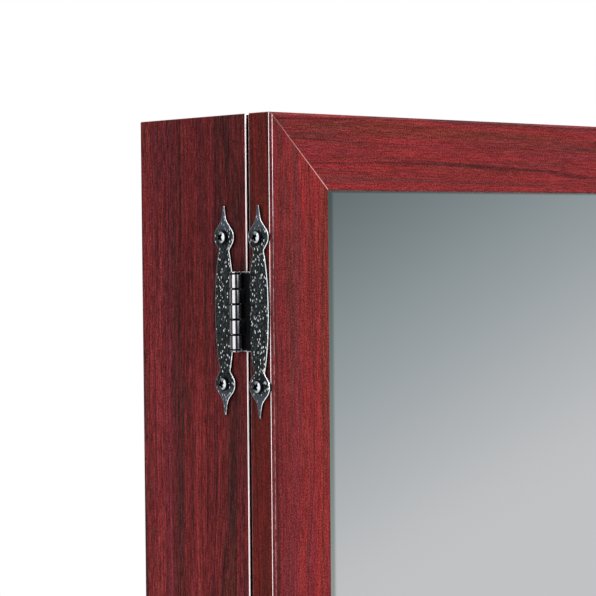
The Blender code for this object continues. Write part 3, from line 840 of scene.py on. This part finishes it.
fit_board("mirror_glass", "mirror_plate", 0.0005, silvered(), "door", "mirror_glass")
fit_board("mirror_backing", "mirror_backing_felt", 0.0008, lining_felt, "door", "lining_felt")


# ---- Earring bars ----
# Three folded strips of zinc-plated steel on the felt, each with a ledge whose front edge is
# notched so that earring wires drop in.

for number in range(1, 4):
    node = f"earring_bar_{number}"
    eased(node, node + "_zinc", 0.00025, zinc_finish, "door", "bright_steel")


# ---- Knob ----
# A small turned iron knob in black enamel on the latch stile, held by one screw from behind.


def enamel(name, colour):
    """Stove enamel, with a faint orange-peel."""
    coat = Finish(name)
    peel = coat.noise(coat.place(), 700.0, 3.0, 0.55)
    wear = coat.noise(coat.place(), 240.0, 4.0, 0.6)
    return coat.set(
        base_color=coat.mottled(wear, colour, 0.8, 1.3),
        metallic=0.6,
        roughness=0.28 + wear * 0.12,
        normal=coat.bump(peel, 0.00002),
    )


knob_profile = [(0, 0), (0.0060, 0), (0.0064, 0.0003), (0.0064, 0.0012), (0.0060, 0.0017)]
knob_neck = 0.0040
for angle in quarter_turn(8)[1:-1]:
    flare = 0.0020 * (1 - math.sin(angle))
    knob_profile.append((knob_neck + flare, 0.0017 + 0.0040 * (1 - math.cos(angle))))
knob_profile.append((knob_neck, 0.0072))
for step in range(17):
    angle = math.radians(-52 + 142 * step / 16)
    knob_profile.append((0.0085 * max(math.cos(angle), 0) ** 0.9, 0.0140 + 0.0060 * math.sin(angle)))
knob_profile[-1] = (0, knob_profile[-1][1])
knob_iron = enamel("black_enamel", (0.022, 0.022, 0.024))
knob = turned("knob_turned", knob_profile, back_middle("knob"), (0, -1, 0), knob_iron, 64)
install(knob, "door", "knob_iron", "knob")


# ---- Hinges ----
# Three hand-finished strap hinges of black iron. Each leaf is cut from plate, hammered all over
# and drawn out to a spear at both ends, and its knuckles are rolled round a polished pin.


def smooth_run(points, steps):
    """Points of a smooth curve through the given ones."""
    run = []
    for index in range(len(points) - 1):
        before, start = Vector(points[max(index - 1, 0)]), Vector(points[index])
        end, after = Vector(points[index + 1]), Vector(points[min(index + 2, len(points) - 1)])
        for step in range(steps):
            t = step / steps
            straight = 2 * start + (end - before) * t
            bend = (2 * before - 5 * start + 4 * end - after) * t**2
            twist = (3 * start - before - 3 * end + after) * t**3
            run.append((straight + bend + twist) / 2)
    run.append(Vector(points[-1]))
    return run


def leaf_outline(axis):
    """(distance from the pin, height) round a leaf whose own axis stands off the pin."""
    strap = [(0.0, 0.0072), (0.0096, 0.0068), (0.0150, 0.0064), (0.0214, 0.0055)]
    spear = [
        (0.0214, 0.0055), (0.0262, 0.0046), (0.0290, 0.0040), (0.0311, 0.0056),
        (0.0335, 0.0072), (0.0362, 0.0074), (0.0387, 0.0062), (0.0410, 0.0040),
        (0.0433, 0.0021), (0.0460, 0.0013), (0.0502, 0.0005),
    ]
    shoulder = [(0.0214, 0.0073), (0.0196, 0.0070), (0.0191, 0.0064), (0.0190, 0.0003)]
    curved_spear = smooth_run(spear, 5)
    outer = [(axis + half, z) for z, half in smooth_run(strap, 4)]
    outer += [(axis + half, z) for z, half in curved_spear[1:]]
    inner = [(axis - half, z) for z, half in reversed(curved_spear)]
    inner = inner[:-1] + [(away, z) for z, away in smooth_run(shoulder, 3)]
    upper = outer + inner
    lower = [(away, -z) for away, z in reversed(upper)]
    return [Vector(point) for point in upper + lower[:-1]]


def inset_ring(ring, depth, share):
    """The outline moved inwards, by share(point) of the depth. It is given counter-clockwise."""
    moved = []
    count = len(ring)
    for index, point in enumerate(ring):
        ahead = (ring[(index + 1) % count] - point).normalized()
        behind = (point - ring[index - 1]).normalized()
        along = (ahead + behind).normalized()
        inward = Vector((-along.y, along.x))
        lean = max(inward.dot(Vector((-ahead.y, ahead.x))), 0.5)
        moved.append(point + inward * depth * share(point) / lean)
    return moved


def round_over(height, radius, steps=4):
    """(inset, height) up a quarter round that ends a wall."""
    start = height - radius
    return [(radius * (1 - math.cos(a)), start + radius * math.sin(a)) for a in quarter_turn(steps)]


def rimmed_plate(shape, outline, levels, locate, share=lambda point: 1.0):
    """A plate cut to an outline, with its wall's (inset, height) levels. Gives the walls by level."""
    area = sum(a.x * b.y - b.x * a.y for a, b in zip(outline, outline[1:] + outline[:1]))
    ring = outline if area > 0 else list(reversed(outline))
    layers = []
    for inset, height in levels:
        layer = inset_ring(ring, inset, share) if inset else ring
        layers.append([shape.verts.new(locate(point.x, point.y, height)) for point in layer])
    return bridge(shape, layers)


def hammered_iron():
    """Black iron beaten all over with a small peen: fine upright dents, with bright specks at their lips
    painted in white as glints.
    """
    iron = Finish("hammered_iron")
    # The drawn-out ends are worked smoother than the strap, with fewer specks, and are painted lighter
    # and bluer as a sheen where their doming catches the light
    _, y, z = iron.axes()
    reach = iron.node("ShaderNodeMath", {"operation": "WRAP"}, {0: z, 1: half_pitch, 2: -half_pitch})
    reach = iron.maths("ABSOLUTE", reach)
    ends = iron.step(reach, 0.0345, 0.0420)
    slant = iron.place((1.0, 1.2, 0.40), turn=(math.radians(10), 0, 0))
    lean = iron.place((1.0, 1.2, 0.40), turn=(math.radians(-14), 0, 0))
    cells = {"Vector": slant, "Scale": 1080.0, "Randomness": 0.9}
    dents = iron.node("ShaderNodeTexVoronoi", {"feature": "F1"}, cells, out="Distance")
    chance = iron.node("ShaderNodeTexVoronoi", {"feature": "F1"}, cells, out="Color")
    ripple = iron.noise(lean, 1500.0, 3.0, 0.65)
    # Painted glints: small bright specks put into the colour as white
    painted_glint = (1.0 - iron.step(dents + ripple * 0.2, 0.32, 0.39)) * iron.step(chance, 0.43, 0.48)
    # Handling has rubbed the rounded rim bright. The cut edge below it is black iron, painted near black
    # also as the shade beside the leaf
    marked = iron.mark("rim")
    rim = iron.maths("MAXIMUM", marked, 0.0)
    cut = iron.maths("MULTIPLY", marked, -3.0, clamp=True)
    # Painted shade: the strip of leaf beside the barrel is painted black, where the barrel shades it
    strip_front, strip_back = -0.0882, -0.0806
    strip = iron.step(y, strip_front, strip_front + 0.0010)
    strip = strip * (1.0 - iron.step(y, strip_back - 0.0006, strip_back))
    cut = iron.maths("MAXIMUM", cut, strip * (1.0 - iron.step(reach, 0.0180, 0.0186)))
    painted_glint = painted_glint * (1.0 - rim) * (1.0 - cut) * (1.0 - ends * 0.4)
    broad = iron.noise(iron.place(), 200.0, 2.0)
    ground = iron.blend(broad, (0.005, 0.008, 0.008), (0.018, 0.025, 0.027))
    ground = iron.blend(iron.step(ripple, 0.53, 0.60) * 0.7, ground, (0.070, 0.090, 0.096))
    ground = iron.blend(iron.step(ripple, 0.46, 0.40) * 0.8, ground, (0.002, 0.003, 0.003))
    ground = iron.blend(ends * 0.60, ground, (0.110, 0.136, 0.175))
    colour = iron.blend(painted_glint, ground, (1.0, 1.0, 1.0))
    colour = iron.blend(rim, colour, (0.88, 0.90, 0.92))
    colour = iron.blend(cut, colour, (0.003, 0.003, 0.004))
    return iron.set(
        base_color=colour,
        metallic=0.5 - painted_glint * 0.5 + rim * 0.5,
        roughness=0.42 - rim * 0.18,
        normal=iron.bump(dents * -0.5 + ripple * 0.6, 0.00022),
        specular_ior_level=0.3,
    )


def polished_iron(name, colour, roughness):
    """Dark burnished steel with faint turning marks, left dull and black where handling hasn't burnished
    it. That black is also painted shade in the knuckle gaps, on the tails and round the screw heads.
    """
    steel = Finish(name)
    marks = steel.noise(steel.place((1, 1, 3.0)), 1400.0, 2.0, 0.6)
    cloud = steel.noise(steel.place(), 300.0, 3.0, 0.6)
    rubbed_clear_of_shade = steel.mark("polish")
    burnished = steel.mottled(cloud, colour, 0.75, 1.2)
    dull = 0.40
    return steel.set(
        base_color=steel.blend(rubbed_clear_of_shade, (0.006, 0.007, 0.008), burnished),
        metallic=1.0,
        roughness=dull + marks * 0.06 + rubbed_clear_of_shade * (roughness - dull),
        normal=steel.bump(marks, 0.000006),
    )


def polish_of(piece, how_much):
    """Marks how far each face of a piece is polished, from the face's middle."""
    marks = piece.data.attributes.new("polish", "FLOAT", "FACE")
    marks.data.foreach_set("value", [how_much(face.center) for face in piece.data.polygons])


half_pitch = 0.2579  # Half the way from one hinge to the next
leaf_iron = hammered_iron()
barrel_steel = polished_iron("barrel_steel", (0.43, 0.43, 0.46), 0.12)
hinge_names = ("top", "mid", "bottom")
pin_boxes = [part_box(f"hinge_{name}_pin") for name in hinge_names]
pin_places = [(low + high) / 2 for low, high in pin_boxes]
leaf_axis = 0.0128
leaf_thick = 0.0013
leaf_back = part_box("left_side_panel")[0].x - 0.0003 - pin_places[0].x
barrel_radius = 0.00295
knuckle = 0.00725
knuckle_count = 5


def leaf_pattern(side):
    """One hammered leaf, placed about its pin. side is 1 towards the wall and -1 towards the room."""
    shape = bmesh.new()
    rim = shape.faces.layers.float.new("rim")
    # The cut edge, a bright round, then a shoulder beaten down towards it
    levels = [(0.0, 0.0)] + round_over(leaf_thick - 0.00012, 0.00038)
    levels += [(0.0009, leaf_thick - 0.00004), (0.0016, leaf_thick)]
    walls = rimmed_plate(
        shape, leaf_outline(leaf_axis), levels,
        lambda u, v, w: (leaf_back - w, side * u, v),
        lambda point: min(max(abs(point.x - leaf_axis) / 0.0024, 0.22), 1.0),
    )
    for wall, mark in zip(walls, (-1.0, -0.3, 0.7, 1.0, 0.6, 0.0, 0.0)):
        for face in wall:
            face[rim] = mark
    bmesh.ops.recalc_face_normals(shape, faces=shape.faces)
    shade(shape, [face for wall in walls for face in wall])
    return object_of("leaf_pattern", shape, leaf_iron)


def knuckle_pattern(side, rows):
    """The knuckles of one leaf: each rolled round the pin, with its tail lapping onto the leaf."""
    shape = bmesh.new()
    tail = leaf_back - leaf_thick + 0.0002
    seam, gap = 0.0003, 0.0008
    start, end = math.pi / 2, math.tau + math.asin(seam / barrel_radius)
    lap = [(tail, seam), (tail, barrel_radius + 0.0012), (tail - 0.0006, barrel_radius + 0.0004)]
    outline = [Vector(point) for point in lap]
    for step in range(45):
        angle = start + (end - start) * step / 44
        outline.append(Vector((math.cos(angle), math.sin(angle))) * barrel_radius)
    curved = []
    tall = knuckle - gap
    ends = round_over(tall, 0.00016, 2)
    levels = [(inset, tall - height) for inset, height in reversed(ends)] + ends
    polish = shape.faces.layers.float.new("polish")
    for row in rows:
        low = (row - knuckle_count / 2) * knuckle + gap / 2
        walls = rimmed_plate(shape, outline, levels, lambda u, v, w, low=low: (u, side * v, low + w))
        curved += [face for wall in walls for face in wall]
        # Only the barrel's outer face is polished. The rounded knuckle ends and the tails stay dull
        # black, also as painted shade in the gaps and beside the barrel
        for face in walls[len(ends) - 1]:
            middle = face.calc_center_median()
            face[polish] = float(abs(math.hypot(middle.x, middle.y) - barrel_radius) < 0.0003)
    bmesh.ops.recalc_face_normals(shape, faces=shape.faces)
    shade(shape, curved)
    return object_of("knuckle_pattern", shape, barrel_steel)


for body, side, rows in (("case", 1, (0, 2, 4)), ("door", -1, (1, 3))):
    nodes = [f"hinge_{name}_{body}_leaf" for name in hinge_names]
    for kind, pattern, finish in (
        ("leaves", leaf_pattern(side), leaf_iron),
        ("knuckles", knuckle_pattern(side, rows), barrel_steel),
    ):
        repeated(f"{body}_hinge_{kind}", pattern, pin_places, finish, body, "hinge_iron", nodes)

pin_half = knuckle_count * knuckle / 2
cap_radius = barrel_radius - 0.0001
cap = [(cap_radius - 0.0002, 0.0001), (cap_radius, 0.0003), (cap_radius, 0.0007)]
cap += [(cap_radius - 0.0003, 0.00098), (0.0017, 0.00112), (0, 0.00115)]
pin_profile = [(0.0013, pin_half - 0.0015)] + [(radius, pin_half + height) for radius, height in cap]
whole_pin = [(radius, -height) for radius, height in reversed(pin_profile)] + pin_profile
pin_pattern = turned("pin_pattern", whole_pin, (0, 0, 0), (0, 0, 1), barrel_steel)
polish_of(pin_pattern, lambda middle: float(abs(middle.z) > pin_half))
pin_nodes = [f"hinge_{name}_pin" for name in hinge_names]
repeated("hinge_pins", pin_pattern, pin_places, barrel_steel, "case", "hinge_iron", pin_nodes)


# ---- Screws ----
# Round-head wood screws with a cross recess, blackened and oiled: four to a hinge. One more, of
# plain steel, holds the knob.


def screw_pattern(head, rim, height, shank, length):
    """A round-head screw, its head's underside at the origin and its axis along -X."""
    profile = [(0, -length), (0.0005, -length + 0.0004), (shank * 0.72, -length * 0.72)]
    profile += [(shank, -length * 0.62), (shank, -0.0004), (shank, 0)]
    profile += [(head - 0.00025, 0), (head, 0.00025)]
    rise = height - rim
    ball = (head**2 + rise**2) / (2 * rise)
    half = math.asin(head / ball)
    for step in range(13):
        angle = half * (1 - step / 12)
        profile.append((ball * math.sin(angle), height - ball * (1 - math.cos(angle))))
    profile[-1] = (0, height)
    screw = turned("screw_pattern", profile, (0, 0, 0), (-1, 0, 0), screw_steel, 56, 40)
    # The cross recess: four tapering flutes that meet in a point, driven in from the crown
    cutter = bmesh.new()
    arm, slot, depth = head * 0.62, head * 0.17, height * 0.80
    square = ((-1, -1), (1, -1), (1, 1), (-1, 1))
    for quarter in range(2):
        turn = Matrix.Rotation(math.pi / 2 * quarter, 3, "X")
        top = [(-height - 0.0004, y * arm * 1.12, z * slot * 1.25) for y, z in square]
        floor = [(-height + depth, y * arm * 0.42, z * slot * 0.8) for y, z in square]
        corners = [[cutter.verts.new(turn @ Vector(point)) for point in ring] for ring in (top, floor)]
        bridge(cutter, corners)
    bmesh.ops.recalc_face_normals(cutter, faces=cutter.faces)
    driver = object_of("driver", cutter, screw_steel)
    recess = screw.modifiers.new("recess", "BOOLEAN")
    recess.operation = "DIFFERENCE"
    recess.solver = "EXACT"
    recess.use_self = True
    recess.object = driver
    evaluated = screw.evaluated_get(bpy.context.evaluated_depsgraph_get())
    mesh = bpy.data.meshes.new_from_object(evaluated)
    screw.modifiers.remove(recess)
    screw.data = mesh
    mesh.set_sharp_from_angle(angle=math.radians(32))
    bpy.data.objects.remove(driver)
    centre = Vector((ball - height, 0, 0))

    # The crown is rubbed bright. The recess is blackened, and the rim wall and the dome's outer ring
    # stay dull black, also as painted shade for the dark crescent round the head
    def rubbed_clear_of_shade(middle):
        on_ball = (middle - centre).length > ball - 0.00005
        return float(on_ball and math.hypot(middle.y, middle.z) < head * 0.77)

    polish_of(screw, rubbed_clear_of_shade)
    return screw


screw_steel = polished_iron("screw_steel", (0.40, 0.42, 0.44), 0.13)
under_head = pin_places[0].x + leaf_back - leaf_thick - 0.00005
for body, side in (("case", 1), ("door", -1)):
    places, nodes = [], []
    for hinge in hinge_names:
        for level in ("upper", "lower"):
            node = f"hinge_{hinge}_{body}_screw_{level}"
            low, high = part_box(node)
            places.append((under_head, (low.y + high.y) / 2, (low.z + high.z) / 2))
            nodes.append(node)
    repeated(
        f"{body}_hinge_screws",
        screw_pattern(head=0.0034, rim=0.0008, height=0.0026, shank=0.0014, length=0.0095),
        places, screw_steel, body, "screw_iron", nodes, turns=(0.3, 1.2), seed=4 + side,
    )

eased("knob_screw", "knob_screw_steel", 0.0002, zinc_finish, "door", "bright_steel")


# ---- Studio ----
# A round pale floor, a soft lamp above, and light that comes from all round: a tall one at the
# left, and one in front that is brighter higher up. The mirror shows a soft fall of grey.

floor_shape = bmesh.new()
bmesh.ops.create_circle(floor_shape, cap_ends=True, segments=128, radius=1.6)
bmesh.ops.translate(floor_shape, vec=(0, 0, frame_box[0][2] - 0.001), verts=floor_shape.verts)
paper = Finish("pale_floor")
tooth = paper.noise(paper.place(), 300.0, 3.0)
paper_colour = paper.blend(tooth, (0.80, 0.80, 0.80), (0.84, 0.84, 0.84))
floor = object_of("floor", floor_shape, paper.set(base_color=paper_colour, roughness=0.85))


def surround():
    """The light that comes from all round, by direction."""
    world = bpy.data.worlds.new("surround")
    world.use_nodes = True
    bpy.context.scene.world = world
    sky = Finish("", world.node_tree)
    x, y, z = sky.axes(sky.node("ShaderNodeTexCoord", out="Generated"))
    degrees = 180 / math.pi
    # Azimuth is 0 straight in front of the armoire and grows to the right
    azimuth = sky.maths("ARCTAN2", x, -1.0 * y) * degrees
    height = sky.maths("ARCSINE", z) * degrees

    def window(value, start, full_from, full_to, end):
        return sky.step(value, start, full_from) * (1.0 - sky.step(value, full_to, end))

    # The rest of the room is nearly dark, and lighter overhead and towards the wall
    fill = 0.04 + sky.step(height, 15.0, 50.0) * 0.55
    fill = fill + sky.step(sky.maths("ABSOLUTE", azimuth), 124.0, 136.0) * 0.26
    left = window(azimuth, -106.0, -97.0, -54.0, -44.0) * window(height, -55.0, -35.0, 45.0, 65.0)
    front = window(azimuth, -9.0, 1.0, 22.0, 34.0) * window(height, -60.0, -40.0, 40.0, 60.0)
    # What the mirror shows: an even fall of light, dimmer and cooler at the top left
    mirrored = 0.214 - height * 0.0325 + (azimuth - 43.0) * 0.0190
    brightest = {0: mirrored, 1: 0.57, 2: 0.09}
    mirrored = sky.node("ShaderNodeMath", {"operation": "SMOOTH_MIN"}, brightest)
    mirrored = sky.maths("MAXIMUM", mirrored, 0.05)
    patch = window(azimuth, 24.0, 31.0, 62.0, 75.0) * window(height, -50.0, -25.0, 5.0, 14.0)
    level = fill + left * 2.1 + front * (0.40 + sky.step(height, -12.0, 42.0) * 1.5)
    level = level * (1.0 - patch) + mirrored * patch
    warmth = sky.step(mirrored, 0.15, 0.60)
    cast = sky.blend(warmth, (0.82, 0.99, 1.05), (0.985, 1.0, 1.025))
    cast = sky.blend(patch, (1.0, 1.0, 1.0), cast)
    camera_sees = sky.node("ShaderNodeLightPath", out="Is Camera Ray")
    lit = sky.blend(1.0, cast, level, "MULTIPLY")
    shown = sky.blend(camera_sees, lit, (1.0, 1.0, 1.0))
    sky.feed(world.node_tree.nodes["Background"].inputs["Color"], shown)


surround()


lamp = bpy.data.lights.new("soft_key", "AREA")
lamp.shape = "RECTANGLE"
lamp.size = 1.2
lamp.size_y = 1.2
lamp.energy = 130.0
soft_key = bpy.data.objects.new("soft_key", lamp)
soft_key.location = (0.2, -1.6, 2.6)
aim = Vector((0, 0, 0.3)) - soft_key.location
soft_key.rotation_euler = aim.to_track_quat("-Z", "Y").to_euler()
bpy.context.scene.collection.objects.link(soft_key)
bpy.context.scene.view_settings.view_transform = "Standard"
